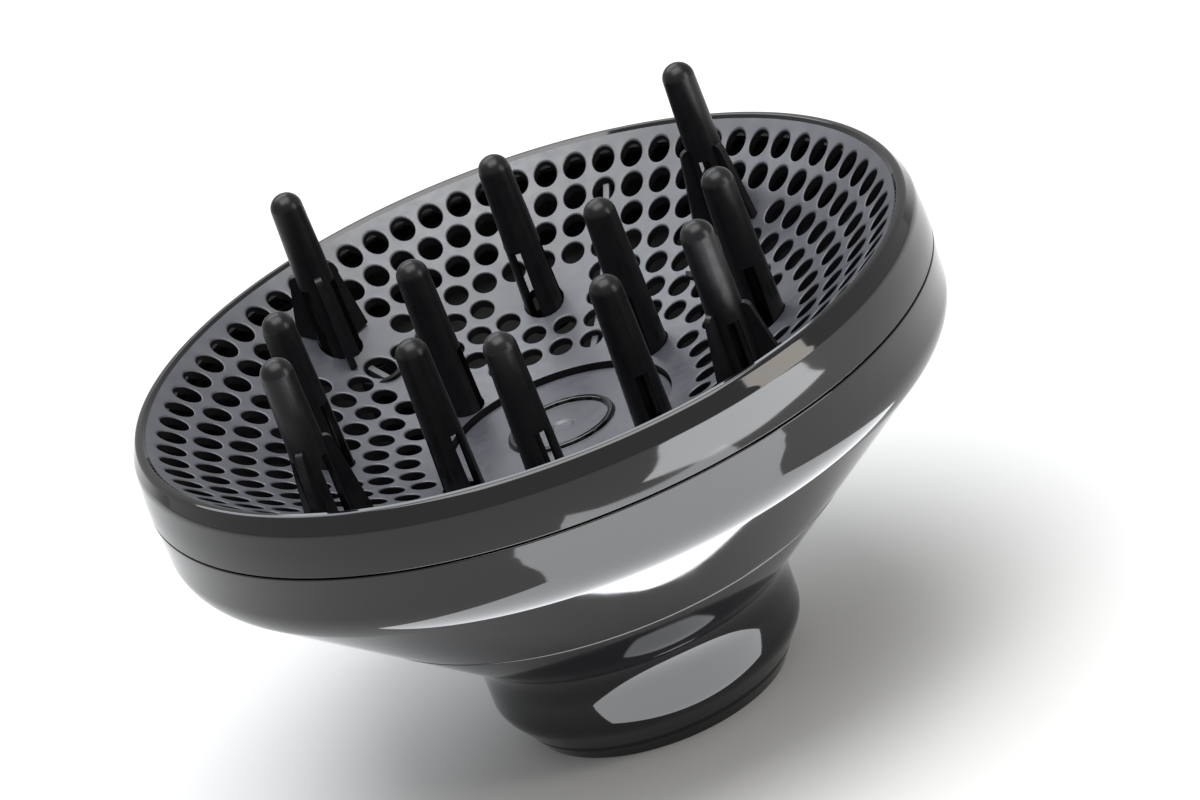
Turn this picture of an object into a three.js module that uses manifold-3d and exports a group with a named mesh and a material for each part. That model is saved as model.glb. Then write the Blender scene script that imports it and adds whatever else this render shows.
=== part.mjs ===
// Diffuser attachment for a hair dryer, in millimetres, +Z up.
// The axis is Z, the neck stands on z = 0 and the perforated dish opens upwards.
import * as THREE from 'three';
import { mergeVertices } from 'three/addons/utils/BufferGeometryUtils.js';
import Module from 'manifold-3d';

const wasm = await Module();
wasm.setup();

// ---------------------------------------------------------------- driving dimensions

const GAP = 0.3;                    // clearance kept between neighbouring pieces
const WALL = 2.0;                   // moulded wall thickness of the shells
const RING_SEGMENTS = 48;           // facets round the large shells
const FINGER_SEGMENTS = 12;         // facets round a finger

const DISH_RADIUS = 116;            // the dish is a spherical cap of this radius
const DISH_CENTRE_Z = 173.2;        // height of that sphere's centre
const DISH_WALL = 1.5;              // thickness of the perforated plate
const DISH_EDGE = 74.2;             // radius where the dish meets the rim lip
const RIM_RADIUS = 78.0;            // outside radius at the parting line
const PARTING_Z = 72.7;             // parting line between grille and housing

const BULGE_RADIUS = 15;            // rounding of the housing below the parting line
const BULGE_TOP_Z = 67.5;           // where that rounding starts
const BULGE_SIDE = 77.6;            // outside radius there
const CONE_ANGLE = THREE.MathUtils.degToRad(48.9);  // cone side, measured from the axis
const SEAM_RADIUS = 50.4;           // seam between housing and neck collar
const LAP_THICKNESS = 1.5;          // flange of the collar that laps inside the housing

const NECK_RADIUS = 31.2;           // straight part of the neck
const NECK_FILLET = 11.5;           // concave rounding between neck and cone
const NECK_SHOULDER_Z = 9.5;        // the neck starts to close in below this height
const MOUTH_RADIUS = 23.4;          // opening that the dryer's nozzle enters

const DISC_RADIUS = 22.0;           // closing disc in the middle of the dish
const DISC_TOP_Z = 58.1;
const DISC_THICKNESS = 1.6;
const DISC_RIDGE_RADIUS = 9.9;      // round ridge on the disc

const FINGER_TIP_RADIUS = 3.1;
const FINGER_FOOT_RADIUS = 3.9;
const FINGER_BORE = 2.5;            // each finger is hollow, to let warm air out low down
const FINGER_SPIGOT = 5.2;          // length of a finger below the dish surface
const WINDOW_WIDTH = 2.4;
const WINDOW_DROP = 16.6;           // top of the windows, below the centre of the tip
const FIN_THICKNESS = 1.3;
const FIN_DROP = 14.2;              // top of the fins, below the centre of the tip
const FIN_REACH = 7.6;              // how far a fin reaches from the finger's axis

const SCREW_PITCH_RADIUS = 47.1;    // four screw wells, on the same axes as the outer fingers
const WELL_RADIUS = 3.1;
const WELL_FLOOR_Z = 56.5;

const RIB_COUNT = 6;                // stiffening ribs under the dish
const RIB_THICKNESS = 1.4;
const RIB_DEPTH = 5;
const RIB_START_ANGLE = 30;         // degrees; every ring of perforations has a hole here

const FINGER_RINGS = [
  { name: 'inner', radius: 26.6, tipZ: 89.0, startAngle: 0, windowAngle: 90, fins: false },
  { name: 'middle', radius: 43.3, tipZ: 94.8, startAngle: 45, windowAngle: 30, fins: false },
  { name: 'outer', radius: 56.4, tipZ: 102.1, startAngle: 0, windowAngle: 90, fins: true },
];
const FINGERS_PER_RING = 4;
const WINDOWS_PER_FINGER = 3;

// ---------------------------------------------------------------- materials

const satin = { color: 0x3c3c40, roughness: 0.45, metalness: 0 };
const blackSatin = { color: 0x141416, roughness: 0.4, metalness: 0 };
const gloss = { color: 0x101013, roughness: 0.08, metalness: 0 };
const rubber = { color: 0x1b1b1c, roughness: 0.8, metalness: 0 };
const steel = { color: 0x9a9ca0, roughness: 0.3, metalness: 1 };

// ---------------------------------------------------------------- solid helpers

const point = (radius, z) => new THREE.Vector2(radius, z);

function toManifold(geometry) {
  const bare = new THREE.BufferGeometry();
  bare.setAttribute('position', geometry.getAttribute('position').clone());
  if (geometry.index) bare.setIndex(geometry.index.clone());
  const merged = mergeVertices(bare, 1e-4);
  const index = merged.index.array;
  const triangles = [];
  for (let i = 0; i < index.length; i += 3) {
    const [a, b, c] = [index[i], index[i + 1], index[i + 2]];
    if (a !== b && b !== c && c !== a) triangles.push(a, b, c);
  }
  return new wasm.Manifold(new wasm.Mesh({
    numProp: 3,
    vertProperties: new Float32Array(merged.getAttribute('position').array),
    triVerts: new Uint32Array(triangles),
  }));
}

function toGeometry(solid) {
  const mesh = solid.getMesh();
  const geometry = new THREE.BufferGeometry();
  geometry.setAttribute('position', new THREE.BufferAttribute(mesh.vertProperties, 3));
  geometry.setIndex(new THREE.BufferAttribute(mesh.triVerts, 1));
  return geometry;
}

// Signed area of a profile that is closed along the axis: its sign gives the turning sense.
function signedArea(profile) {
  return profile.reduce((sum, p, i) => {
    const q = profile[(i + 1) % profile.length];
    return sum + (p.x * q.y - q.x * p.y) / 2;
  }, 0);
}

// Solid of revolution about Z. The profile holds (radius, height) points, and it either
// starts and ends on the axis or is a loop clear of it.
function revolve(profile, segments) {
  const points = signedArea(profile) < 0 ? [...profile].reverse() : [...profile];
  if (points.every((p) => p.x > 0)) points.push(points[0].clone());
  const geometry = new THREE.LatheGeometry(points, segments);
  geometry.rotateX(Math.PI / 2);
  return toManifold(geometry);
}

// Points of a circular arc in the profile plane, angles in degrees.
function arc(centreRadius, centreZ, radius, from, to, steps) {
  return Array.from({ length: steps + 1 }, (_, i) => {
    const angle = THREE.MathUtils.degToRad(from + ((to - from) * i) / steps);
    return point(centreRadius + radius * Math.cos(angle), centreZ + radius * Math.sin(angle));
  });
}

function cylinder(radius, fromZ, toZ, segments) {
  const geometry = new THREE.CylinderGeometry(radius, radius, toZ - fromZ, segments);
  geometry.rotateX(Math.PI / 2);
  geometry.translate(0, 0, (fromZ + toZ) / 2);
  return toManifold(geometry);
}

function box(fromX, toX, width, fromZ, toZ) {
  const geometry = new THREE.BoxGeometry(toX - fromX, width, toZ - fromZ);
  geometry.translate((fromX + toX) / 2, 0, (fromZ + toZ) / 2);
  return toManifold(geometry);
}

// Places a solid at a distance from the axis, in the direction of an angle in degrees.
const place = (solid, radius, angle) => solid.translate([radius, 0, 0]).rotate([0, 0, angle]);
const ringAngles = (count, start = 0) =>
  Array.from({ length: count }, (_, i) => start + (360 * i) / count);

// ---------------------------------------------------------------- shared surfaces

const dishTop = (radius) => DISH_CENTRE_Z - Math.sqrt(DISH_RADIUS ** 2 - radius ** 2);

// Points along a sphere concentric with the dish, which lies `depth` below its surface.
function dishCurve(depth, fromRadius, toRadius, steps) {
  const sphere = DISH_RADIUS + depth;
  return Array.from({ length: steps + 1 }, (_, i) => {
    const radius = fromRadius + ((toRadius - fromRadius) * i) / steps;
    return point(radius, DISH_CENTRE_Z - Math.sqrt(sphere ** 2 - radius ** 2));
  });
}

// Where the bulge's rounding runs into the cone.
const coneTop = point(
  BULGE_SIDE - BULGE_RADIUS * (1 - Math.cos(CONE_ANGLE)),
  BULGE_TOP_Z - BULGE_RADIUS * Math.sin(CONE_ANGLE),
);

// A point of the cone at a given outside radius, moved `depth` into the wall.
function conePoint(radius, depth = 0) {
  const z = coneTop.y - (coneTop.x - radius) / Math.tan(CONE_ANGLE);
  return point(radius - depth * Math.cos(CONE_ANGLE), z + depth * Math.sin(CONE_ANGLE));
}

// ---------------------------------------------------------------- front grille

function grilleShell() {
  const seatZ = DISC_TOP_Z - DISC_THICKNESS - GAP;
  const seatRadius = DISC_RADIUS + GAP;
  const ledge = 19.5;
  const ledgeThickness = 1.5;
  const skirtInside = RIM_RADIUS - WALL + 0.1;
  const skirtZ = PARTING_Z + GAP / 2;
  return revolve([
    point(ledge, seatZ - ledgeThickness),
    point(ledge, seatZ),
    point(seatRadius, seatZ),
    ...dishCurve(0, seatRadius, DISH_EDGE, 8),
    point(DISH_EDGE + 0.9, dishTop(DISH_EDGE) + 0.2),
    point(DISH_EDGE + 1.9, dishTop(DISH_EDGE) - 0.5),
    point(DISH_EDGE + 2.7, dishTop(DISH_EDGE) - 1.6),
    point(RIM_RADIUS - 0.5, dishTop(DISH_EDGE) - 3.3),
    point(RIM_RADIUS - 0.1, PARTING_Z + 4),
    point(RIM_RADIUS, skirtZ),
    point(skirtInside, skirtZ),
    point(skirtInside - 0.1, PARTING_Z + 5.8),
    ...dishCurve(DISH_WALL, 72.5, seatRadius + 1.6, 6),
    point(seatRadius + 1.6, seatZ - ledgeThickness),
  ], RING_SEGMENTS);
}

function grilleRibs() {
  const band = revolve([
    ...dishCurve(DISH_WALL / 2, 24.5, 73.4, 5),
    ...dishCurve(DISH_WALL + RIB_DEPTH, 73.4, 24.5, 5),
  ], RING_SEGMENTS);
  const blade = box(20, RIM_RADIUS, RIB_THICKNESS, 40, 90);
  const blades = ringAngles(RIB_COUNT, RIB_START_ANGLE).map((angle) => place(blade, 0, angle));
  return blades.map((solid) => solid.intersect(band));
}

function frontGrille() {
  let grille = grilleShell();
  for (const rib of grilleRibs()) grille = grille.add(rib);
  const floorTop = WELL_FLOOR_Z + 1.8;
  for (const angle of ringAngles(4)) {
    const top = dishTop(SCREW_PITCH_RADIUS) - DISH_WALL / 2;
    grille = grille.add(place(cylinder(WELL_RADIUS + 1.4, WELL_FLOOR_Z, top, 12), SCREW_PITCH_RADIUS, angle));
    grille = grille.subtract(place(cylinder(WELL_RADIUS, floorTop, 90, 12), SCREW_PITCH_RADIUS, angle));
    grille = grille.subtract(place(cylinder(1.8, 50, 90, 8), SCREW_PITCH_RADIUS, angle));
  }
  const socket = cylinder(FINGER_FOOT_RADIUS + GAP + 0.05, 40, 110, FINGER_SEGMENTS);
  for (const ring of FINGER_RINGS) {
    for (const angle of ringAngles(FINGERS_PER_RING, ring.startAngle)) {
      grille = grille.subtract(place(socket, ring.radius, angle));
    }
  }
  return grille;
}

// ---------------------------------------------------------------- closing disc

function centreDisc() {
  const ridgeHeight = 0.8;
  const bottom = DISC_TOP_Z - DISC_THICKNESS;
  let disc = revolve([
    point(0, bottom),
    point(DISC_RADIUS, bottom),
    point(DISC_RADIUS, DISC_TOP_Z),
    point(DISC_RIDGE_RADIUS + 0.6, DISC_TOP_Z),
    point(DISC_RIDGE_RADIUS + 0.3, DISC_TOP_Z + ridgeHeight),
    point(DISC_RIDGE_RADIUS - 0.3, DISC_TOP_Z + ridgeHeight),
    point(DISC_RIDGE_RADIUS - 0.6, DISC_TOP_Z),
    point(2.4, DISC_TOP_Z),
    point(1.9, DISC_TOP_Z - 0.2),
    point(0, DISC_TOP_Z - 0.2),
  ], 36);
  // Three hooks reach through the grille and catch under its ledge.
  for (const angle of ringAngles(3, 60)) {
    const leg = box(17.4, 18.9, 5, bottom - 3.6, bottom + 0.5);
    const barb = box(17.4, 20.6, 5, bottom - 3.6, bottom - 2.4);
    disc = disc.add(place(leg.add(barb), 0, angle));
  }
  return disc;
}

// ---------------------------------------------------------------- rear housing

function rearHousing() {
  const topZ = PARTING_Z - GAP / 2;
  const spigotOutside = RIM_RADIUS - WALL - GAP;
  const spigotInside = spigotOutside - 1.7;
  const turn = THREE.MathUtils.radToDeg(CONE_ANGLE);
  const bulgeCentre = BULGE_SIDE - BULGE_RADIUS;
  const seamOutside = conePoint(SEAM_RADIUS);
  const seamInside = conePoint(SEAM_RADIUS, WALL);
  return revolve([
    point(RIM_RADIUS, topZ),
    ...arc(bulgeCentre, BULGE_TOP_Z, BULGE_RADIUS, 0, -turn, 5),
    seamOutside,
    seamInside,
    ...arc(bulgeCentre, BULGE_TOP_Z, BULGE_RADIUS - WALL, -turn, 0, 3),
    point(spigotInside, BULGE_TOP_Z + 2),
    point(spigotInside, topZ + 4.4),
    point(spigotOutside, topZ + 4.4),
    point(spigotOutside, topZ),
  ], RING_SEGMENTS);
}

// ---------------------------------------------------------------- neck collar

function neckCollarShell() {
  const stepIn = 0.4;                       // the collar lies this far below the housing's skin
  const turn = THREE.MathUtils.radToDeg(CONE_ANGLE);
  // The fillet touches the neck at filletZ and the cone where it has turned by the cone angle.
  const filletCentre = NECK_RADIUS + NECK_FILLET;
  const filletEnd = filletCentre - NECK_FILLET * Math.cos(CONE_ANGLE);
  const filletZ = conePoint(filletEnd, stepIn).y - NECK_FILLET * Math.sin(CONE_ANGLE);
  const coneOutside = SEAM_RADIUS - GAP;
  const lapOutside = WALL + GAP;
  const lapInside = lapOutside + LAP_THICKNESS;
  const boreRadius = NECK_RADIUS - WALL;
  return revolve([
    point(MOUTH_RADIUS, 0),
    point(25.4, 0),
    point(26.4, 0.4),
    point(27.4, 2.2),
    point(27.9, 3.7),
    ...arc(NECK_RADIUS - 6.2, NECK_SHOULDER_Z, 6.2, -62, 0, 3),
    ...arc(filletCentre, filletZ, NECK_FILLET, 180, 180 - turn, 4),
    conePoint(coneOutside, stepIn),
    conePoint(coneOutside, lapOutside),
    conePoint(SEAM_RADIUS + 4.5, lapOutside),
    conePoint(SEAM_RADIUS + 4.5, lapInside),
    conePoint(SEAM_RADIUS - 5, lapInside),
    conePoint(SEAM_RADIUS - 7, WALL + stepIn),
    conePoint(filletEnd - 0.6, WALL + stepIn),
    point(boreRadius, filletZ + 3.2),
    point(boreRadius, NECK_SHOULDER_Z),
    point(boreRadius - 0.9, 6.6),
    point(boreRadius - 2.6, 3.4),
    point(MOUTH_RADIUS + 1.6, 2.2),
    point(MOUTH_RADIUS, 2.2),
  ], RING_SEGMENTS);
}

function neckCollar() {
  let collar = neckCollarShell();
  const postTop = WELL_FLOOR_Z - GAP;
  const postFoot = conePoint(SCREW_PITCH_RADIUS + 1, WALL).y - 0.6;
  for (const angle of ringAngles(4)) {
    const post = cylinder(3.4, postFoot, postTop, 12);
    const foot = post.intersect(collarBackfill().translate([-SCREW_PITCH_RADIUS, 0, 0]));
    collar = collar.add(place(foot, SCREW_PITCH_RADIUS, angle));
    collar = collar.subtract(place(cylinder(1.6, postTop - 12, postTop + 1, 8), SCREW_PITCH_RADIUS, angle));
  }
  return collar;
}

// Everything above the middle of the collar's lap, so that a post ends inside the lap.
function collarBackfill() {
  const depth = WALL + GAP + LAP_THICKNESS / 2;
  return revolve([
    point(0, conePoint(SEAM_RADIUS - 20, depth).y),
    conePoint(SEAM_RADIUS - 20, depth),
    conePoint(SEAM_RADIUS + 6, depth),
    point(SEAM_RADIUS + 6, 70),
    point(0, 70),
  ], 32);
}

// ---------------------------------------------------------------- grip sleeve

function gripSleeve() {
  const outside = NECK_RADIUS - WALL - GAP;
  const inside = outside - 2.6;
  const lipReach = 1.9;
  const bottom = NECK_SHOULDER_Z - 1.4;
  const top = 18.6;
  const lips = [0.2, 0.5, 0.8].flatMap((share) => {
    const z = top + (bottom - top) * share;
    return [point(inside, z + 0.9), point(inside - lipReach, z), point(inside, z - 0.7)];
  });
  return revolve([
    point(outside - 0.5, bottom),
    point(outside, bottom + 1.6),
    point(outside, top),
    point(inside, top),
    ...lips,
    point(inside, bottom),
  ], 36);
}

// ---------------------------------------------------------------- fingers

function fingerBody(ring) {
  const footZ = dishTop(ring.radius) - FINGER_SPIGOT;
  const boreTop = ring.tipZ - WINDOW_DROP + 1.6;
  const flare = (FINGER_FOOT_RADIUS - FINGER_TIP_RADIUS) / (ring.tipZ - dishTop(ring.radius));
  const spigotTop = dishTop(ring.radius) - 1;
  return revolve([
    point(0, boreTop),
    point(FINGER_BORE - 0.4, boreTop),
    point(FINGER_BORE, boreTop - 1),
    point(FINGER_BORE, footZ),
    point(FINGER_FOOT_RADIUS - 0.2, footZ),
    point(FINGER_TIP_RADIUS + flare * (ring.tipZ - spigotTop), spigotTop),
    ...arc(0, ring.tipZ, FINGER_TIP_RADIUS, 0, 68, 3),
    point(0, ring.tipZ + FINGER_TIP_RADIUS),
  ], FINGER_SEGMENTS);
}

// A fin stands on the finger's side and follows the sloping dish underneath.
function fin(ring, angle) {
  const clearance = 2 * GAP;
  const turn = THREE.MathUtils.degToRad(angle);
  const foot = (reach) => {
    const across = Math.hypot(ring.radius + reach * Math.cos(turn), reach * Math.sin(turn));
    return dishTop(across) + clearance;
  };
  const root = FINGER_BORE + 0.4;
  const top = ring.tipZ - FIN_DROP;
  const outline = new THREE.Shape([
    point(root, foot(root)),
    point(FIN_REACH, foot(FIN_REACH)),
    point(4.9, top - 1.4),
    point(4.3, top),
    point(root, top),
  ]);
  const geometry = new THREE.ExtrudeGeometry(outline, { depth: FIN_THICKNESS, bevelEnabled: false });
  geometry.translate(0, 0, -FIN_THICKNESS / 2);
  geometry.rotateX(Math.PI / 2);
  return toManifold(geometry).rotate([0, 0, angle]);
}

function finger(ring) {
  let solid = fingerBody(ring);
  if (ring.fins) {
    for (const angle of ringAngles(3, 30)) solid = solid.add(fin(ring, angle));
  }
  const windowFoot = dishTop(ring.radius) - 2.6;
  const slot = box(1, FINGER_FOOT_RADIUS + 1, WINDOW_WIDTH, windowFoot, ring.tipZ - WINDOW_DROP);
  for (const angle of ringAngles(WINDOWS_PER_FINGER, ring.windowAngle)) {
    solid = solid.subtract(slot.rotate([0, 0, angle]));
  }
  return solid;
}

// ---------------------------------------------------------------- screws

function screw() {
  const headFloor = WELL_FLOOR_Z + 1.8 + GAP;
  const headRadius = 2.6;
  const shankRadius = 1.25;
  const solid = revolve([
    point(0, headFloor - 11),
    point(shankRadius, headFloor - 10),
    point(shankRadius, headFloor),
    point(headRadius, headFloor),
    point(headRadius, headFloor + 1.1),
    point(headRadius - 0.8, headFloor + 1.9),
    point(0, headFloor + 2.2),
  ], 12);
  const slot = box(-1.5, 1.5, 0.6, headFloor + 1, headFloor + 3);
  return solid.subtract(slot).subtract(slot.rotate([0, 0, 90]));
}

// ---------------------------------------------------------------- assembly

const diffuser = new THREE.Group();

function addPiece(name, solid, finish, parent = diffuser) {
  const mesh = new THREE.Mesh(toGeometry(solid), new THREE.MeshStandardMaterial(finish));
  mesh.name = name;
  parent.add(mesh);
  return mesh;
}

addPiece('front_grille', frontGrille(), satin);
addPiece('centre_disc', centreDisc(), satin);
addPiece('rear_housing', rearHousing(), gloss);
addPiece('neck_collar', neckCollar(), gloss);
addPiece('grip_sleeve', gripSleeve(), rubber);

for (const ring of FINGER_RINGS) {
  const solid = finger(ring);
  ringAngles(FINGERS_PER_RING, ring.startAngle).forEach((angle, i) => {
    const arm = new THREE.Group();
    arm.rotation.z = THREE.MathUtils.degToRad(angle);
    diffuser.add(arm);
    const mesh = addPiece(`finger_${ring.name}_${i + 1}`, solid, blackSatin, arm);
    mesh.position.x = ring.radius;
  });
}

ringAngles(4).forEach((angle, i) => {
  const arm = new THREE.Group();
  arm.rotation.z = THREE.MathUtils.degToRad(angle);
  diffuser.add(arm);
  addPiece(`screw_${i + 1}`, screw(), steel, arm).position.x = SCREW_PITCH_RADIUS;
});

export default diffuser;
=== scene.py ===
import math

import bmesh
import bpy
from mathutils import Matrix, Vector
from mathutils.geometry import delaunay_2d_cdt


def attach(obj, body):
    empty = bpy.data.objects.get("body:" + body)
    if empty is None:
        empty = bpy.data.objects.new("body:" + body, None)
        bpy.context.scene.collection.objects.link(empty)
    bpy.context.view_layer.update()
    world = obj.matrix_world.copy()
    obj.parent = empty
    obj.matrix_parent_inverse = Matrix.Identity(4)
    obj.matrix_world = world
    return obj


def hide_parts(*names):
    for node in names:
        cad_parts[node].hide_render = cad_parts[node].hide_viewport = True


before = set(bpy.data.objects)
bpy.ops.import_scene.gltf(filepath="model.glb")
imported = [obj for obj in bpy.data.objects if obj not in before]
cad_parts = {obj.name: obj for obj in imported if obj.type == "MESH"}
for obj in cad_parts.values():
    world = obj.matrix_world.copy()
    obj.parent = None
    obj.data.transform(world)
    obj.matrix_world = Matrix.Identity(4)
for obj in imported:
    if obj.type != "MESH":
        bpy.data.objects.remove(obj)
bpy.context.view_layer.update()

scene = bpy.context.scene
ORIGIN = Vector((0, 0))

# ------------------------------------------------------------------ dimensions (mm)

SHELL_STEPS = 240          # facets round the large shells
FINGER_STEPS = 48
HOLE_STEPS = 20
TURN_STEP = 7              # degrees of turn per facet of a rounded corner
SHELL_TURN_STEP = 3        # the same on the glossy shells, whose reflections show every facet
SHELL_FACET = 1.2          # longest facet along the profile of a shell
SHARP_ANGLE = 50           # edges that turn more than this are shaded sharp
BEVEL_ANGLE = 40           # edges that turn more than this are rounded off, on pieces with a bevel

DISH_SPHERE = 116.0        # the dish is a cap of this sphere
DISH_CENTRE_Z = 173.2
DISH_EDGE = 74.2           # radius of the cap
DISH_WALL = 1.5
RIB_DROP = DISH_WALL - 0.2     # the ribs' tops run just inside the dish's underside

RIM_RADIUS = 78.0
PARTING_Z = 72.7
SPIGOT_RADIUS = 75.7
CONE_SLOPE = 1.147         # growth of the cone's radius per millimetre of height
SEAM_RADIUS = 50.4         # where the housing meets the collar, on the cone
SEAM_Z = 36.95
HOUSING_WALL = 2.0
NECK_RADIUS = 31.2
NECK_WALL = 2.0

RING_RADII = (70.0, 64.3, 58.6, 52.8, 47.1, 41.4, 35.7, 29.9)
OUTER_RING_HOLES = 72      # each further ring has six holes fewer
HOLE_RADIUS = 2.35
HOLE_ROUNDING = 0.3
EDGE_TURNS = (30, 60, 90)  # where an opening's rounded edge has rings of points
HOLE_START = 30            # of the rings of holes and of the ribs
FOOT_CLEARANCE = 7.3       # least distance from a finger's axis to the centre of a hole
FIN_CLEARANCE = 8.4        # the same outside a finger with fins
WELL_CLEARANCE = 6.0       # the same from a screw well's axis

DISC_RADIUS = 22.0
DISC_TOP_Z = 58.1
DISC_THICKNESS = 1.6
RECESS_RADIUS = DISC_RADIUS + 0.3
RECESS_WALL = 1.6
RECESS_STEPS = 120
LEDGE_RADIUS = 19.5        # the disc rests on a ledge at the bottom of the recess
LEDGE_Z = 56.2
LEDGE_THICKNESS = 1.5
RIDGE_RADIUS = 9.9         # of the ridge on the disc, whose darker gloss black paints the shade of a groove
RIDGE_HEIGHT = 0.8
RIDGE_HALF_WIDTH = 0.7

WELL_PITCH_RADIUS = 47.1
WELL_RADIUS = 3.1
WELL_FLOOR_Z = 58.3
WELL_WALL = 1.4
WELL_STEPS = 32

# tip_z is the centre of a finger's rounded tip, and the three drops are measured down from it.
TIP_RADIUS = 3.1
FOOT_RADIUS = 3.9
FOOT_BORE = 2.5
FOOT_DEPTH = 5.2           # below the dish's surface
BORE_DROP = 15.0
FIN_DROP = 14.2
FIN_REACH = 7.6            # from the finger's axis to the outer foot of a fin
FIN_THICKNESS = 1.4
FIN_START = 30
WINDOW_DROP = 16.6
WINDOW_WIDTH = 2.5
SOCKET_RADIUS = 4.1        # of the opening in the dish that a finger stands in
FINGERS = {
    "inner": {"radius": 26.6, "tip_z": 89.0, "start": 0, "window_start": 90, "fins": 0},
    "middle": {"radius": 43.3, "tip_z": 94.8, "start": 45, "window_start": 30, "fins": 0},
    "outer": {"radius": 56.4, "tip_z": 102.1, "start": 0, "window_start": 90, "fins": 3},
}


def dish_z(radius, depth=0.0):
    """Height of the dish's surface, or of a sphere `depth` below it."""
    return DISH_CENTRE_Z - math.sqrt((DISH_SPHERE + depth) ** 2 - radius**2)


def cone_z(radius):
    """Height of the cone's outer surface."""
    return SEAM_Z + (radius - SEAM_RADIUS) / CONE_SLOPE


def round_angles(count, start=0):
    return [start + 360 * i / count for i in range(count)]


def polar(radius, angle):
    return Vector((radius * math.cos(math.radians(angle)), radius * math.sin(math.radians(angle))))


def direction(azimuth, elevation):
    """Unit vector toward a point seen from the origin at these angles."""
    a, e = math.radians(azimuth), math.radians(elevation)
    return Vector((math.cos(e) * math.cos(a), math.cos(e) * math.sin(a), math.sin(e)))


# ------------------------------------------------------------------ mesh helpers


def rounded(corners, turn_step=TURN_STEP):
    """A profile from (radius, height, rounding) corners, each rounded off by a small arc."""
    points = []
    for i, (r, z, rounding) in enumerate(corners):
        here = Vector((r, z))
        if not rounding:
            points.append(here)
            continue
        back = Vector(corners[i - 1][:2]) - here
        ahead = Vector(corners[(i + 1) % len(corners)][:2]) - here
        half = back.angle(ahead) / 2
        # Two rounded corners share the side between them.
        room = min(
            back.length * (0.49 if corners[i - 1][2] else 1),
            ahead.length * (0.49 if corners[(i + 1) % len(corners)][2] else 1),
        )
        reach = min(rounding / math.tan(half), room)
        centre = here + (back.normalized() + ahead.normalized()).normalized() * reach / math.cos(half)
        start = here + back.normalized() * reach - centre
        end = here + ahead.normalized() * reach - centre
        turn = start.angle_signed(end)
        steps = max(2, math.ceil(abs(math.degrees(turn)) / turn_step))
        for k in range(steps + 1):
            points.append(centre + Matrix.Rotation(-turn * k / steps, 2) @ start)
    return points


def evenly(profile, longest):
    """The same closed profile with extra points, so that no side is longer than `longest`."""
    points = []
    for here, ahead in zip(profile, profile[1:] + profile[:1]):
        parts = max(1, math.ceil((ahead - here).length / longest))
        points += [here.lerp(ahead, k / parts) for k in range(parts)]
    return points


def lathe(profile, steps):
    """Closed mesh of revolution. The profile is a loop, or starts and ends on the axis."""
    bm = bmesh.new()
    rings = []
    for r, z in profile:
        if r < 1e-6:
            rings.append([bm.verts.new((0, 0, z))])
        else:
            rings.append([bm.verts.new((*polar(r, a), z)) for a in round_angles(steps)])
    for near, far in zip(rings, rings[1:] + rings[:1]):
        for i in range(steps):
            k = (i + 1) % steps
            corners = [near[i % len(near)], near[k % len(near)], far[k % len(far)], far[i % len(far)]]
            corners = list(dict.fromkeys(corners))
            if len(corners) > 2:
                bm.faces.new(corners)
    bmesh.ops.recalc_face_normals(bm, faces=bm.faces)
    return bm


def shell(corners):
    """Lathed skin of a glossy shell, with facets small enough for smooth reflections."""
    return lathe(evenly(rounded(corners, SHELL_TURN_STEP), SHELL_FACET), SHELL_STEPS)


def add_bar(bm, path, width, height):
    """Adds a closed bar whose top runs along (x, z) points, centred on y = 0; gives its vertices."""
    rows = []
    for x, z in path:
        rows.append([
            bm.verts.new((x, -width / 2, z)),
            bm.verts.new((x, width / 2, z)),
            bm.verts.new((x, width / 2, z - height)),
            bm.verts.new((x, -width / 2, z - height)),
        ])
    bm.faces.new(rows[0])
    bm.faces.new(reversed(rows[-1]))
    for near, far in zip(rows, rows[1:]):
        for i in range(4):
            k = (i + 1) % 4
            bm.faces.new((near[k], near[i], far[i], far[k]))
    return [v for row in rows for v in row]


def add_plate(bm, outline, thickness):
    """Adds a plate with an outline of (x, z) points, centred on y = 0; gives its vertices."""
    sides = [[bm.verts.new((x, y, z)) for x, z in outline] for y in (-thickness / 2, thickness / 2)]
    bm.faces.new(sides[0])
    bm.faces.new(reversed(sides[1]))
    for i in range(len(outline)):
        k = (i + 1) % len(outline)
        bm.faces.new((sides[0][k], sides[0][i], sides[1][i], sides[1][k]))
    return sides[0] + sides[1]


def moved(bm, radius=0.0, angle=0.0, verts=None):
    """Carries a mesh, or some of its vertices, out from the axis and then round it."""
    matrix = Matrix.Rotation(math.radians(angle), 4, "Z") @ Matrix.Translation((radius, 0, 0))
    bmesh.ops.transform(bm, matrix=matrix, verts=verts or bm.verts)
    return bm


def to_mesh(name, bm):
    mesh = bpy.data.meshes.new(name)
    bm.to_mesh(mesh)
    bm.free()
    return mesh


def repeated(make, radius, angles):
    """One mesh of the parts that `make` gives, one at each angle, set out from the axis."""
    bm = bmesh.new()
    for angle in angles:
        mesh = to_mesh("part", moved(make(), radius, angle))
        bm.from_mesh(mesh)
        bpy.data.meshes.remove(mesh)
    return bm


def boolean(bm, cutter, operation):
    """The exact boolean of two meshes, as a new mesh."""
    target = bpy.data.objects.new("target", to_mesh("target", bm))
    other = bpy.data.objects.new("other", to_mesh("other", cutter))
    for part in (target, other):
        scene.collection.objects.link(part)
    modifier = target.modifiers.new("boolean", "BOOLEAN")
    modifier.operation = operation
    modifier.solver = "EXACT"
    modifier.object = other
    evaluated = target.evaluated_get(bpy.context.evaluated_depsgraph_get())
    result = bmesh.new()
    result.from_mesh(evaluated.to_mesh())
    evaluated.to_mesh_clear()
    for part in (target, other):
        mesh = part.data
        bpy.data.objects.remove(part)
        bpy.data.meshes.remove(mesh)
    return result


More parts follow.
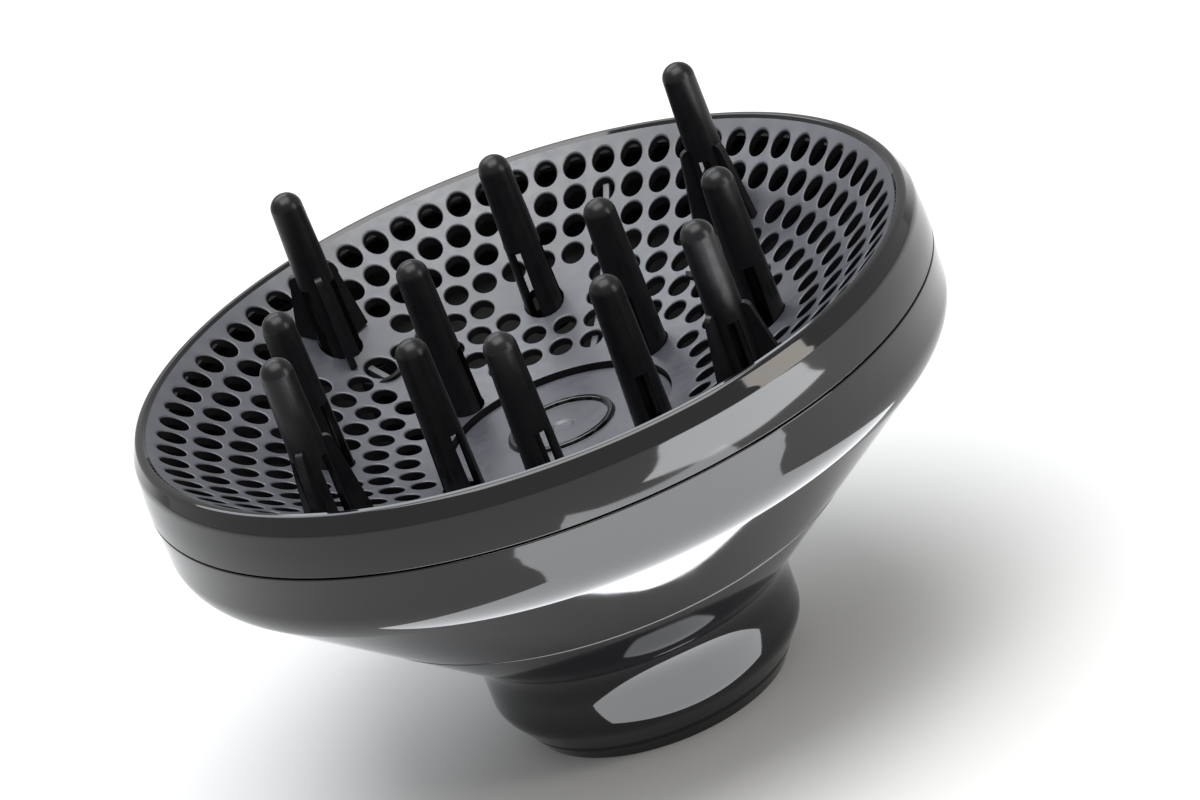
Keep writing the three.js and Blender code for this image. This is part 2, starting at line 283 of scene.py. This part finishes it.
def add_piece(name, bm, material, slot, *nodes, bevel=0.0):
    """Turns a mesh in millimetres into a finished piece of the object that stands for CAD nodes."""
    bmesh.ops.scale(bm, vec=(0.001, 0.001, 0.001), verts=bm.verts)
    mesh = to_mesh(name, bm)
    mesh.shade_smooth()
    mesh.set_sharp_from_angle(angle=math.radians(SHARP_ANGLE))
    mesh.materials.append(material)
    piece = bpy.data.objects.new(name, mesh)
    scene.collection.objects.link(piece)
    if bevel:
        edge = piece.modifiers.new("rounded_edges", "BEVEL")
        edge.width = bevel / 1000
        edge.segments = 2
        edge.angle_limit = math.radians(BEVEL_ANGLE)
    normals = piece.modifiers.new("even_shading", "WEIGHTED_NORMAL")
    normals.keep_sharp = True
    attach(piece, "root")
    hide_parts(*nodes)
    return piece


def repaint(piece, material, chosen):
    """Gives a second material to the faces that `chosen` picks."""
    piece.data.materials.append(material)
    for face in piece.data.polygons:
        if chosen(face):
            face.material_index = 1


def faces_inward(face):
    return face.center.xy.dot(face.normal.xy) < 0


# ------------------------------------------------------------------ materials


def plain_material(name, colour, roughness):
    material = bpy.data.materials.new(name)
    material.use_nodes = True
    shader = material.node_tree.nodes["Principled BSDF"]
    shader.inputs["Base Color"].default_value = (*colour, 1)
    shader.inputs["Roughness"].default_value = roughness
    return material, shader


def noise(material, size_mm, detail=3.0):
    """Object-space noise with features of about the given size."""
    tree = material.node_tree
    place = tree.nodes.new("ShaderNodeTexCoord")
    texture = tree.nodes.new("ShaderNodeTexNoise")
    texture.inputs["Scale"].default_value = 1000 / size_mm
    texture.inputs["Detail"].default_value = detail
    tree.links.new(place.outputs["Object"], texture.inputs["Vector"])
    return texture.outputs["Fac"]


NOISE_RANGE = (0.3, 0.7)   # the noise seldom leaves this range


def vary(material, shader, socket, source, low, high):
    """Lets noise carry a socket of the shader between two numbers or two colours."""
    tree = material.node_tree
    if isinstance(low, tuple):
        ramp = tree.nodes.new("ShaderNodeValToRGB")
        ramp.color_ramp.elements[0].position = NOISE_RANGE[0]
        ramp.color_ramp.elements[1].position = NOISE_RANGE[1]
        ramp.color_ramp.elements[0].color = (*low, 1)
        ramp.color_ramp.elements[1].color = (*high, 1)
        tree.links.new(source, ramp.inputs["Fac"])
        tree.links.new(ramp.outputs["Color"], shader.inputs[socket])
    else:
        span = tree.nodes.new("ShaderNodeMapRange")
        span.inputs["From Min"].default_value = NOISE_RANGE[0]
        span.inputs["From Max"].default_value = NOISE_RANGE[1]
        span.inputs["To Min"].default_value = low
        span.inputs["To Max"].default_value = high
        tree.links.new(source, span.inputs["Value"])
        tree.links.new(span.outputs["Result"], shader.inputs[socket])


def roughen(material, shader, source, depth_mm):
    """Bumps of the given depth on the surface."""
    tree = material.node_tree
    bump = tree.nodes.new("ShaderNodeBump")
    bump.inputs["Distance"].default_value = depth_mm / 1000
    bump.inputs["Strength"].default_value = 1
    tree.links.new(source, bump.inputs["Height"])
    tree.links.new(bump.outputs["Normal"], shader.inputs["Normal"])


def satin_plastic(name, dark, light, roughness, grain_depth, shine=0.5):
    """Moulded plastic with a fine eroded grain and a faint mottling."""
    material, shader = plain_material(name, dark, roughness)
    shader.inputs["Specular IOR Level"].default_value = shine
    vary(material, shader, "Base Color", noise(material, 6), dark, light)
    vary(material, shader, "Roughness", noise(material, 2), roughness - 0.05, roughness + 0.05)
    if grain_depth > 0:
        roughen(material, shader, noise(material, 0.6, 2), grain_depth)
    return material


def gloss_plastic(name, colour):
    """Polished plastic: a clear, slightly wavy skin with the faintest haze of handling."""
    material, shader = plain_material(name, colour, 0.04)
    vary(material, shader, "Roughness", noise(material, 9, 5), 0.03, 0.07)
    roughen(material, shader, noise(material, 12, 1), 0.012)
    return material


satin_grille = satin_plastic(
    "satin_grille", (0.030, 0.032, 0.040), (0.044, 0.046, 0.056), roughness=0.42, grain_depth=0.01, shine=0.8
)
satin_black = satin_plastic(
    "satin_black", (0.003, 0.003, 0.004), (0.006, 0.006, 0.007), roughness=0.32, grain_depth=0, shine=0.25
)
gloss_black = gloss_plastic("gloss_black", (0.0025, 0.0025, 0.003))
# Painted shade: a near-black, dull material for the hole walls, the recess round the disc, the dish's
# underside, the screw wells and the shells' insides, where shade falls.
painted_shade_black = satin_plastic(
    "painted_shade_black", (0.004, 0.004, 0.005), (0.007, 0.007, 0.008), roughness=0.5, grain_depth=0.01, shine=0.12
)
sleeve_rubber = satin_plastic(
    "sleeve_rubber", (0.012, 0.012, 0.012), (0.022, 0.022, 0.022), roughness=0.75, grain_depth=0.03
)
screw_steel, steel_shader = plain_material("screw_steel", (0.16, 0.16, 0.17), 0.3)
steel_shader.inputs["Metallic"].default_value = 1
vary(screw_steel, steel_shader, "Roughness", noise(screw_steel, 0.6), 0.2, 0.4)


# ------------------------------------------------------------------ front grille


def finger_places():
    for ring in FINGERS.values():
        for angle in round_angles(4, ring["start"]):
            yield ring, polar(ring["radius"], angle)


def clearance(ring, radius):
    """How far a hole at this radius keeps from the axis of a finger of the given ring."""
    if ring["fins"] and radius > ring["radius"]:
        return FIN_CLEARANCE
    return FOOT_CLEARANCE


def perforations():
    """Centres of the small holes: full rings, less those too near to a finger's foot or a well."""
    wells = [polar(WELL_PITCH_RADIUS, angle) for angle in round_angles(4)]
    centres = []
    for i, radius in enumerate(RING_RADII):
        for angle in round_angles(OUTER_RING_HOLES - 6 * i, HOLE_START):
            centre = polar(radius, angle)
            if any((centre - well).length <= WELL_CLEARANCE for well in wells):
                continue
            if all((centre - foot).length > clearance(ring, radius) for ring, foot in finger_places()):
                centres.append(centre)
    return centres


def round_openings():
    """Every opening in the dish as (centre, radius, rounding of its edge)."""
    openings = [(centre, HOLE_RADIUS, HOLE_ROUNDING) for centre in perforations()]
    openings += [(foot, SOCKET_RADIUS, 0.05) for _, foot in finger_places()]
    for angle in round_angles(4):
        openings.append((polar(WELL_PITCH_RADIUS, angle), WELL_RADIUS, HOLE_ROUNDING))
    return openings


def circle(centre, radius, steps):
    return [centre + polar(radius, angle) for angle in round_angles(steps)]


def flat_layout(loops):
    """Triangles between the outer loop, the inner loop and the openings, as lists of indices."""
    points, edges = [], []
    for loop in loops:
        first = len(points)
        points += loop
        edges += [(first + i, first + (i + 1) % len(loop)) for i in range(len(loop))]
    _, _, faces, origins, _, _ = delaunay_2d_cdt(points, edges, [], 0, 1e-5)
    owner = [number for number, loop in enumerate(loops) for _ in loop]
    kept = []
    for face in faces:
        corners = [origins[v][0] for v in face]
        owners = {owner[c] for c in corners}
        if len(owners) > 1 or owners == {0}:
            kept.append(corners)
    return kept


def on_top(point):
    return (*point, dish_z(point.length))


def on_underside(point):
    return (*point, dish_z(point.length, DISH_WALL))


def recess_rings():
    """Rings of points below the recess's edge: its wall, the ledge and back up to the underside."""
    outside = RECESS_RADIUS + RECESS_WALL
    underside = LEDGE_Z - LEDGE_THICKNESS
    rings = []
    for radius, z in (
        (RECESS_RADIUS, LEDGE_Z),
        (LEDGE_RADIUS, LEDGE_Z),
        (LEDGE_RADIUS, underside),
        (outside, underside),
    ):
        rings.append([(*p, z) for p in circle(ORIGIN, radius, RECESS_STEPS)])
    rings.append([on_underside(p) for p in circle(ORIGIN, outside, RECESS_STEPS)])
    return rings


def opening_rings(centre, radius, rounding):
    """Rings of points below an opening's edge: the rounded edge, then straight down."""
    rings = []
    for turn in EDGE_TURNS:
        out = rounding * (1 - math.sin(math.radians(turn)))
        down = rounding * (1 - math.cos(math.radians(turn)))
        loop = circle(centre, radius + out, HOLE_STEPS)
        rings.append([(p.x, p.y, dish_z(p.length) - down) for p in loop])
    rings.append([on_underside(p) for p in circle(centre, radius, HOLE_STEPS)])
    return rings


def add_strip(bm, top, rings, first_painted_shade):
    """Joins rings of points below a ring of vertices and gives the lowest ring of vertices.

    Bands from the number that the last argument gives on have the dish's second material, which paints shade
    on them.
    """
    near = top
    for number, ring in enumerate(rings):
        far = [bm.verts.new(point) for point in ring]
        for i in range(len(near)):
            k = (i + 1) % len(near)
            face = bm.faces.new((near[i], near[k], far[k], far[i]))
            face.material_index = int(number >= first_painted_shade)
        near = far
    return near


def perforated_dish():
    """The curved plate as one closed mesh: both faces share one layout of triangles."""
    openings = round_openings()
    edge = circle(ORIGIN, DISH_EDGE, SHELL_STEPS)
    loops = [edge, circle(ORIGIN, RECESS_RADIUS, RECESS_STEPS)]
    loops += [circle(centre, radius + rounding, HOLE_STEPS) for centre, radius, rounding in openings]
    layout = flat_layout(loops)

    bm = bmesh.new()
    top = [[bm.verts.new(on_top(p)) for p in loop] for loop in loops]
    # The edge of the plate is hidden inside the rim, so it needs no band of painted shade.
    bottom = [add_strip(bm, top[0], [[on_underside(p) for p in edge]], 1)]
    # The recess's wall and ledge all take the painted shade, which draws a dark line round the disc.
    bottom.append(add_strip(bm, top[1], recess_rings(), 0))
    for opening, ring in zip(openings, top[2:]):
        # The straight wall of each opening takes the painted shade, so the holes look dark inside.
        bottom.append(add_strip(bm, ring, opening_rings(*opening), len(EDGE_TURNS)))

    above = [vert for ring in top for vert in ring]
    below = [vert for ring in bottom for vert in ring]
    for corners in layout:
        bm.faces.new([above[c] for c in corners])
        # The underside takes the painted shade as well.
        bm.faces.new([below[c] for c in reversed(corners)]).material_index = 1
    bmesh.ops.recalc_face_normals(bm, faces=bm.faces)
    return bm


def grille_rim():
    """Glossy band round the dish: lip, side and the skirt that goes over the housing's spigot."""
    edge_z = dish_z(DISH_EDGE)
    foot = 72.0            # the rim's inner foot sits under the edge of the dish
    foot_z = dish_z(foot, DISH_WALL)
    return shell([
        (DISH_EDGE - 0.4, edge_z - 0.35, 0.1),
        (DISH_EDGE + 0.4, edge_z + 0.45, 0.4),
        (DISH_EDGE + 1.7, edge_z + 0.3, 2.0),
        (77.4, edge_z - 2.6, 4),
        (RIM_RADIUS - 0.1, 76.0, 60),
        (RIM_RADIUS, PARTING_Z + 0.15, 0.25),
        (SPIGOT_RADIUS + 0.3, PARTING_Z + 0.15, 0.1),
        (SPIGOT_RADIUS + 0.2, 78.5, 1),
        (foot, foot_z - 0.5, 0.3),
        (foot, foot_z + 0.6, 0.2),
    ])


def grille_ribs():
    """Six bars under the dish that follow its curve from the recess to the rim."""
    path = [(radius, dish_z(radius, RIB_DROP)) for radius in range(25, 73, 4)]
    bm = bmesh.new()
    for angle in round_angles(6, HOLE_START):
        moved(bm, 0, angle, add_bar(bm, path, width=1.4, height=4.8))
    bmesh.ops.recalc_face_normals(bm, faces=bm.faces)
    return bm


def screw_well():
    """Tube under an opening of the dish, with a floor that has the screw's hole in it."""
    outside = WELL_RADIUS + WELL_WALL
    top = dish_z(WELL_PITCH_RADIUS, DISH_WALL) + 0.6
    underside = WELL_FLOOR_Z - 1.8
    return lathe(rounded([
        (WELL_RADIUS, top, 0.1),
        (WELL_RADIUS, WELL_FLOOR_Z, 0.3),
        (1.8, WELL_FLOOR_Z, 0.2),
        (1.8, underside, 0.2),
        (outside, underside, 0.4),
        (outside, top, 0.1),
    ]), WELL_STEPS)


def centre_disc():
    """Round cover with a ring-shaped ridge and a shallow dimple in the middle."""
    underside = DISC_TOP_Z - DISC_THICKNESS
    ridge_z = DISC_TOP_Z + RIDGE_HEIGHT
    dimple_z = DISC_TOP_Z - 0.35
    return lathe(rounded([
        (0, underside, 0),
        (DISC_RADIUS, underside, 0.2),
        (DISC_RADIUS, DISC_TOP_Z, 0.4),
        (RIDGE_RADIUS + RIDGE_HALF_WIDTH, DISC_TOP_Z, 0.2),
        (RIDGE_RADIUS + RIDGE_HALF_WIDTH - 0.2, ridge_z, 0.3),
        (RIDGE_RADIUS - RIDGE_HALF_WIDTH + 0.2, ridge_z, 0.3),
        (RIDGE_RADIUS - RIDGE_HALF_WIDTH, DISC_TOP_Z, 0.2),
        (2.4, DISC_TOP_Z, 0.3),
        (1.8, dimple_z, 0.3),
        (0, dimple_z, 0),
    ]), 144)


def disc_hooks():
    """Three hooks under the disc that catch below the grille's ledge."""
    top = DISC_TOP_Z - DISC_THICKNESS
    outline = [
        (17.4, top),
        (17.4, top - 3.6),
        (20.6, top - 3.6),
        (20.6, top - 2.4),
        (18.9, top - 2.4),
        (18.9, top),
    ]
    bm = bmesh.new()
    for angle in round_angles(3, 60):
        moved(bm, 0, angle, add_plate(bm, outline, thickness=5))
    bmesh.ops.recalc_face_normals(bm, faces=bm.faces)
    return bm


# Faces of the ridge, which take the darker gloss black as painted shade.
def on_ridge_painted_dark(face):
    radius_mm = face.center.xy.length * 1000
    return abs(radius_mm - RIDGE_RADIUS) < RIDGE_HALF_WIDTH + 0.05


# ------------------------------------------------------------------ housing and neck


def rear_housing():
    """Bulge under the rim and the cone down to the seam, with a spigot inside the rim."""
    top = PARTING_Z - 0.15
    spigot_z = top + 4.4
    side = 77.6
    inside = side - HOUSING_WALL
    corner_z = 60.75       # where the side and the cone would meet without the rounding
    return shell([
        (RIM_RADIUS, top, 0.25),
        (side, 67.5, 60),
        (side, corner_z, 15),
        (SEAM_RADIUS, SEAM_Z, 0.25),
        (SEAM_RADIUS - 1.3, SEAM_Z + 1.5, 0.2),
        (inside, corner_z + 0.9, 13),
        (inside - 1.5, 69, 1),
        (SPIGOT_RADIUS - 1.7, spigot_z, 0.3),
        (SPIGOT_RADIUS, spigot_z, 0.5),
        (SPIGOT_RADIUS, top, 0.1),
    ])


def neck_collar():
    """Neck and lower cone. Above the seam its wall steps in and laps the inside of the housing."""
    bore = NECK_RADIUS - NECK_WALL
    seam_z = SEAM_Z - 0.3  # a narrow groove shows between the shells
    lap_rise = 3.059       # of the lap's outer face above the cone's outer surface
    lap_end = SEAM_RADIUS + 3
    return shell([
        (23.4, 0, 0.4),
        (25.7, 0, 0.4),
        (27.3, 2.6, 1.2),
        (27.5, 3.5, 0.1),
        (28.0, 3.7, 0.2),
        (NECK_RADIUS, 8.4, 6),
        (NECK_RADIUS, 19.9, 11.5),
        (SEAM_RADIUS - 0.2, seam_z, 0.3),
        (SEAM_RADIUS - 1.8, seam_z + 2.0, 0.2),
        (lap_end, cone_z(lap_end) + lap_rise, 0.2),
        (lap_end - 1, cone_z(lap_end - 1) + lap_rise + 1.8, 0.2),
        (bore + 8, cone_z(bore + 8) + 3.2, 2),
        (bore, 22.6, 8),
        (bore, 8.6, 2),
        (25.2, 2.6, 1),
        (23.4, 2.2, 0.4),
    ])


def screw_post():
    """Post that stands in the collar under a well and takes its screw."""
    outside, bore = 3.4, 1.6
    top = WELL_FLOOR_Z - 2.1
    return lathe(rounded([
        (bore, top - 12, 0),
        (outside, 38.2, 0),
        (outside, top, 0.4),
        (bore, top, 0.3),
    ]), WELL_STEPS)


def grip_sleeve():
    """Soft ring inside the neck, with three lips that grip the nozzle."""
    outside, inside, lip = 28.9, 26.3, 24.4
    bottom, top = 8.1, 18.6
    corners = [
        (outside - 0.5, bottom, 0.4),
        (outside, bottom + 1.6, 0.4),
        (outside, top, 0.3),
        (inside, top, 0.3),
    ]
    for share in (0.2, 0.5, 0.8):
        z = top + (bottom - top) * share
        corners += [(inside, z + 0.9, 0.3), (lip, z, 0.3), (inside, z - 0.7, 0.3)]
    corners.append((inside, bottom, 0.3))
    return lathe(rounded(corners), 160)


# ------------------------------------------------------------------ fingers


def add_box(bm, low, high):
    """Adds a box between two corners; gives its vertices."""
    made = bmesh.ops.create_cube(bm, size=1)["verts"]
    low, high = Vector(low), Vector(high)
    bmesh.ops.scale(bm, vec=high - low, verts=made)
    bmesh.ops.translate(bm, vec=(low + high) / 2, verts=made)
    return made


def finger_fins(ring):
    """Thin fins beside the foot. Each ends in a rounded top and stands clear of the dish."""
    axis = Vector((ring["radius"], 0))
    root = 2.9             # inside the finger's wall
    top = ring["tip_z"] - FIN_DROP
    gap = 0.3
    bm = bmesh.new()
    for angle in round_angles(ring["fins"], FIN_START):
        outline = rounded([
            (root, dish_z((axis + polar(root, angle)).length) + gap, 0),
            (FIN_REACH, dish_z((axis + polar(FIN_REACH, angle)).length) + gap, 0.2),
            (4.8, top, 1.4),
            (root, top, 0),
        ])
        moved(bm, 0, angle, add_plate(bm, outline, FIN_THICKNESS))
    bmesh.ops.recalc_face_normals(bm, faces=bm.faces)
    return bm


def finger_windows(ring):
    """Cutters of the three upright slots in a finger's wall."""
    bottom = dish_z(ring["radius"]) - 2.6
    top = ring["tip_z"] - WINDOW_DROP
    side = WINDOW_WIDTH / 2
    bm = bmesh.new()
    for angle in round_angles(3, ring["window_start"]):
        moved(bm, 0, angle, add_box(bm, (1, -side, bottom), (6, side, top)))
    return bm


def finger(ring):
    """Hollow rounded pin, open below, with its fins joined on and its windows cut out."""
    surface = dish_z(ring["radius"])
    foot = surface - FOOT_DEPTH
    end = ring["tip_z"] + TIP_RADIUS
    bore_top = ring["tip_z"] - BORE_DROP
    pin = lathe(rounded([
        (0, end, 0),
        (TIP_RADIUS, end, TIP_RADIUS),
        (FOOT_RADIUS, surface, 0),
        (FOOT_RADIUS, foot, 0.2),
        (FOOT_BORE, foot, 0.2),
        (FOOT_BORE, bore_top, 0.5),
        (0, bore_top, 0),
    ]), FINGER_STEPS)
    if ring["fins"]:
        pin = boolean(pin, finger_fins(ring), "UNION")
    return boolean(pin, finger_windows(ring), "DIFFERENCE")


def screw():
    """Pan-head screw with a cross recess."""
    seat = WELL_FLOOR_Z + 0.3
    shank, head = 1.25, 2.6
    body = lathe(rounded([
        (0, seat - 10.5, 0),
        (shank, seat - 9.5, 0.1),
        (shank, seat, 0),
        (head, seat, 0.2),
        (head, seat + 1.4, 0.9),
        (0, seat + 2.0, 0),
    ]), 40)
    arm, width = 1.4, 0.28     # of the cross, from the screw's axis
    bottom, top = seat + 0.9, seat + 3
    cross = bmesh.new()
    add_box(cross, (-arm, -width, bottom), (arm, width, top))
    add_box(cross, (-width, -arm, bottom), (width, arm, top))
    return boolean(body, cross, "DIFFERENCE")


# ------------------------------------------------------------------ the object

dish = add_piece("grille_dish", perforated_dish(), satin_grille, "satin_grille", "front_grille")
# The dish's second material paints shade on its hole walls, its recess and its underside.
dish.data.materials.append(painted_shade_black)
add_piece("grille_rim", grille_rim(), gloss_black, "gloss_black", "front_grille")
add_piece("grille_ribs", grille_ribs(), satin_grille, "satin_grille", "front_grille", bevel=0.15)
wells = repeated(screw_well, WELL_PITCH_RADIUS, round_angles(4))
# The wells are grille plastic, but take the painted-shade material so that they look dark down the holes.
add_piece("screw_wells", wells, painted_shade_black, "satin_grille", "front_grille")
disc = add_piece("disc_cover", centre_disc(), satin_grille, "satin_grille", "centre_disc")
# Painted shade: the ridge takes the darker gloss black, a dark line round the disc like the shade of a
# groove.
repaint(disc, gloss_black, on_ridge_painted_dark)
add_piece("disc_hooks", disc_hooks(), satin_grille, "satin_grille", "centre_disc", bevel=0.1)
housing = add_piece("housing_shell", rear_housing(), gloss_black, "gloss_black", "rear_housing")
# Inside faces take the dull painted-shade material, so the housing's inside looks dark through the holes.
repaint(housing, painted_shade_black, faces_inward)
collar = add_piece("collar_shell", neck_collar(), gloss_black, "gloss_black", "neck_collar")
# Inside faces take the dull painted-shade material, so the collar's inside looks dark through the holes.
repaint(collar, painted_shade_black, faces_inward)
posts = repeated(screw_post, WELL_PITCH_RADIUS, round_angles(4))
add_piece("collar_posts", posts, gloss_black, "gloss_black", "neck_collar")
add_piece("sleeve_ring", grip_sleeve(), sleeve_rubber, "sleeve_rubber", "grip_sleeve")

for name, ring in FINGERS.items():
    for number, angle in enumerate(round_angles(4, ring["start"]), start=1):
        pin = moved(finger(ring), ring["radius"], angle)
        node = f"finger_{name}_{number}"
        add_piece(f"pin_{name}_{number}", pin, satin_black, "satin_black", node, bevel=0.18)

for number, angle in enumerate(round_angles(4), start=1):
    fastener = moved(screw(), WELL_PITCH_RADIUS, angle)
    add_piece(f"fastener_{number}", fastener, screw_steel, "screw_steel", f"screw_{number}")

# ------------------------------------------------------------------ camera

AIM = Vector((0.0066, -0.0052, 0.0602))    # metres, like the distance
DISTANCE = 1.0574
AZIMUTH = -128.35          # of the camera, seen from the aim, counter-clockwise from +X
ELEVATION = 23.14
ROLL = -20.72
LENS = 168.4               # mm, on a sensor of the next width
SENSOR_WIDTH = 36


def make_camera():
    camera = bpy.data.objects.new("camera", bpy.data.cameras.new("camera"))
    back = direction(AZIMUTH, ELEVATION)
    camera.data.lens = LENS
    camera.data.sensor_width = SENSOR_WIDTH
    camera.data.clip_end = 20
    roll = Matrix.Rotation(math.radians(ROLL), 4, "Z")
    camera.matrix_world = Matrix.Translation(AIM + back * DISTANCE) @ (
        back.to_track_quat("Z", "Y").to_matrix().to_4x4() @ roll
    )
    scene.collection.objects.link(camera)
    scene.camera = camera


# ------------------------------------------------------------------ studio


FLOOR_REACH = 6            # metres from the origin to each side
FLOOR_GREY = 0.6
SOFTBOX_TARGET = Vector((0, 0, 0.06))      # about the middle of the object
SOFTBOX_GAP = 0.002        # between the floor and a softbox that lies on it
WARM = (1, 0.95, 0.86)
COOL = (0.95, 0.97, 1)
COOLER = (0.9, 0.95, 1)


def make_floor():
    bm = bmesh.new()
    bmesh.ops.create_grid(bm, x_segments=1, y_segments=1, size=FLOOR_REACH)
    floor = bpy.data.objects.new("floor", to_mesh("floor", bm))
    material, _ = plain_material("floor", (FLOOR_GREY, FLOOR_GREY, FLOOR_GREY), 0.9)
    floor.data.materials.append(material)
    scene.collection.objects.link(floor)


def make_world(brightness):
    world = bpy.data.worlds.new("studio")
    world.use_nodes = True
    background = world.node_tree.nodes["Background"]
    background.inputs["Color"].default_value = (1, 1, 1, 1)
    background.inputs["Strength"].default_value = brightness
    scene.world = world


def make_softbox(name, place, rotation, size, brightness, colour):
    """Rectangular area light that the camera sees only in reflections. Sizes are in metres."""
    light = bpy.data.lights.new(name, "AREA")
    light.shape = "RECTANGLE"
    light.size, light.size_y = size
    light.energy = brightness * size[0] * size[1] * math.pi
    light.color = colour
    lamp = bpy.data.objects.new(name, light)
    lamp.location = place
    lamp.rotation_mode = "QUATERNION"
    lamp.rotation_quaternion = rotation
    lamp.visible_camera = False
    scene.collection.objects.link(lamp)


def make_raised_softbox(name, azimuth, elevation, distance, size, brightness, colour=(1, 1, 1)):
    """Softbox that faces the object. Its azimuth is counted from the camera's."""
    toward = direction(AZIMUTH + azimuth, elevation)
    place = SOFTBOX_TARGET + toward * distance
    make_softbox(name, place, toward.to_track_quat("Z", "Y"), size, brightness, colour)


def make_floor_softbox(name, azimuth, distance, size, brightness, colour):
    """Softbox that lies on the floor and shines up; its first side points away from the object."""
    place = direction(AZIMUTH + azimuth, 0) * distance
    place.z = SOFTBOX_GAP
    turned = Matrix.Rotation(math.radians(AZIMUTH + azimuth), 4, "Z")
    face_up = Matrix.Rotation(math.pi, 4, "X")
    make_softbox(name, place, (turned @ face_up).to_quaternion(), size, brightness, colour)


make_camera()
make_floor()
make_world(0.6)
make_raised_softbox("overhead", azimuth=10, elevation=82, distance=1.1, size=(1.1, 0.9), brightness=6)
make_raised_softbox(
    "back_left", azimuth=-162, elevation=50, distance=0.9, size=(0.8, 0.5), brightness=3.5, colour=COOLER
)
make_raised_softbox(
    "right", azimuth=60, elevation=12, distance=0.6, size=(0.2, 0.4), brightness=6, colour=WARM
)
make_floor_softbox("low_front", azimuth=14, distance=0.155, size=(0.24, 0.20), brightness=5, colour=COOL)
make_floor_softbox("low_right", azimuth=40, distance=0.40, size=(0.25, 0.28), brightness=8, colour=COOL)
scene.view_settings.view_transform = "Standard"
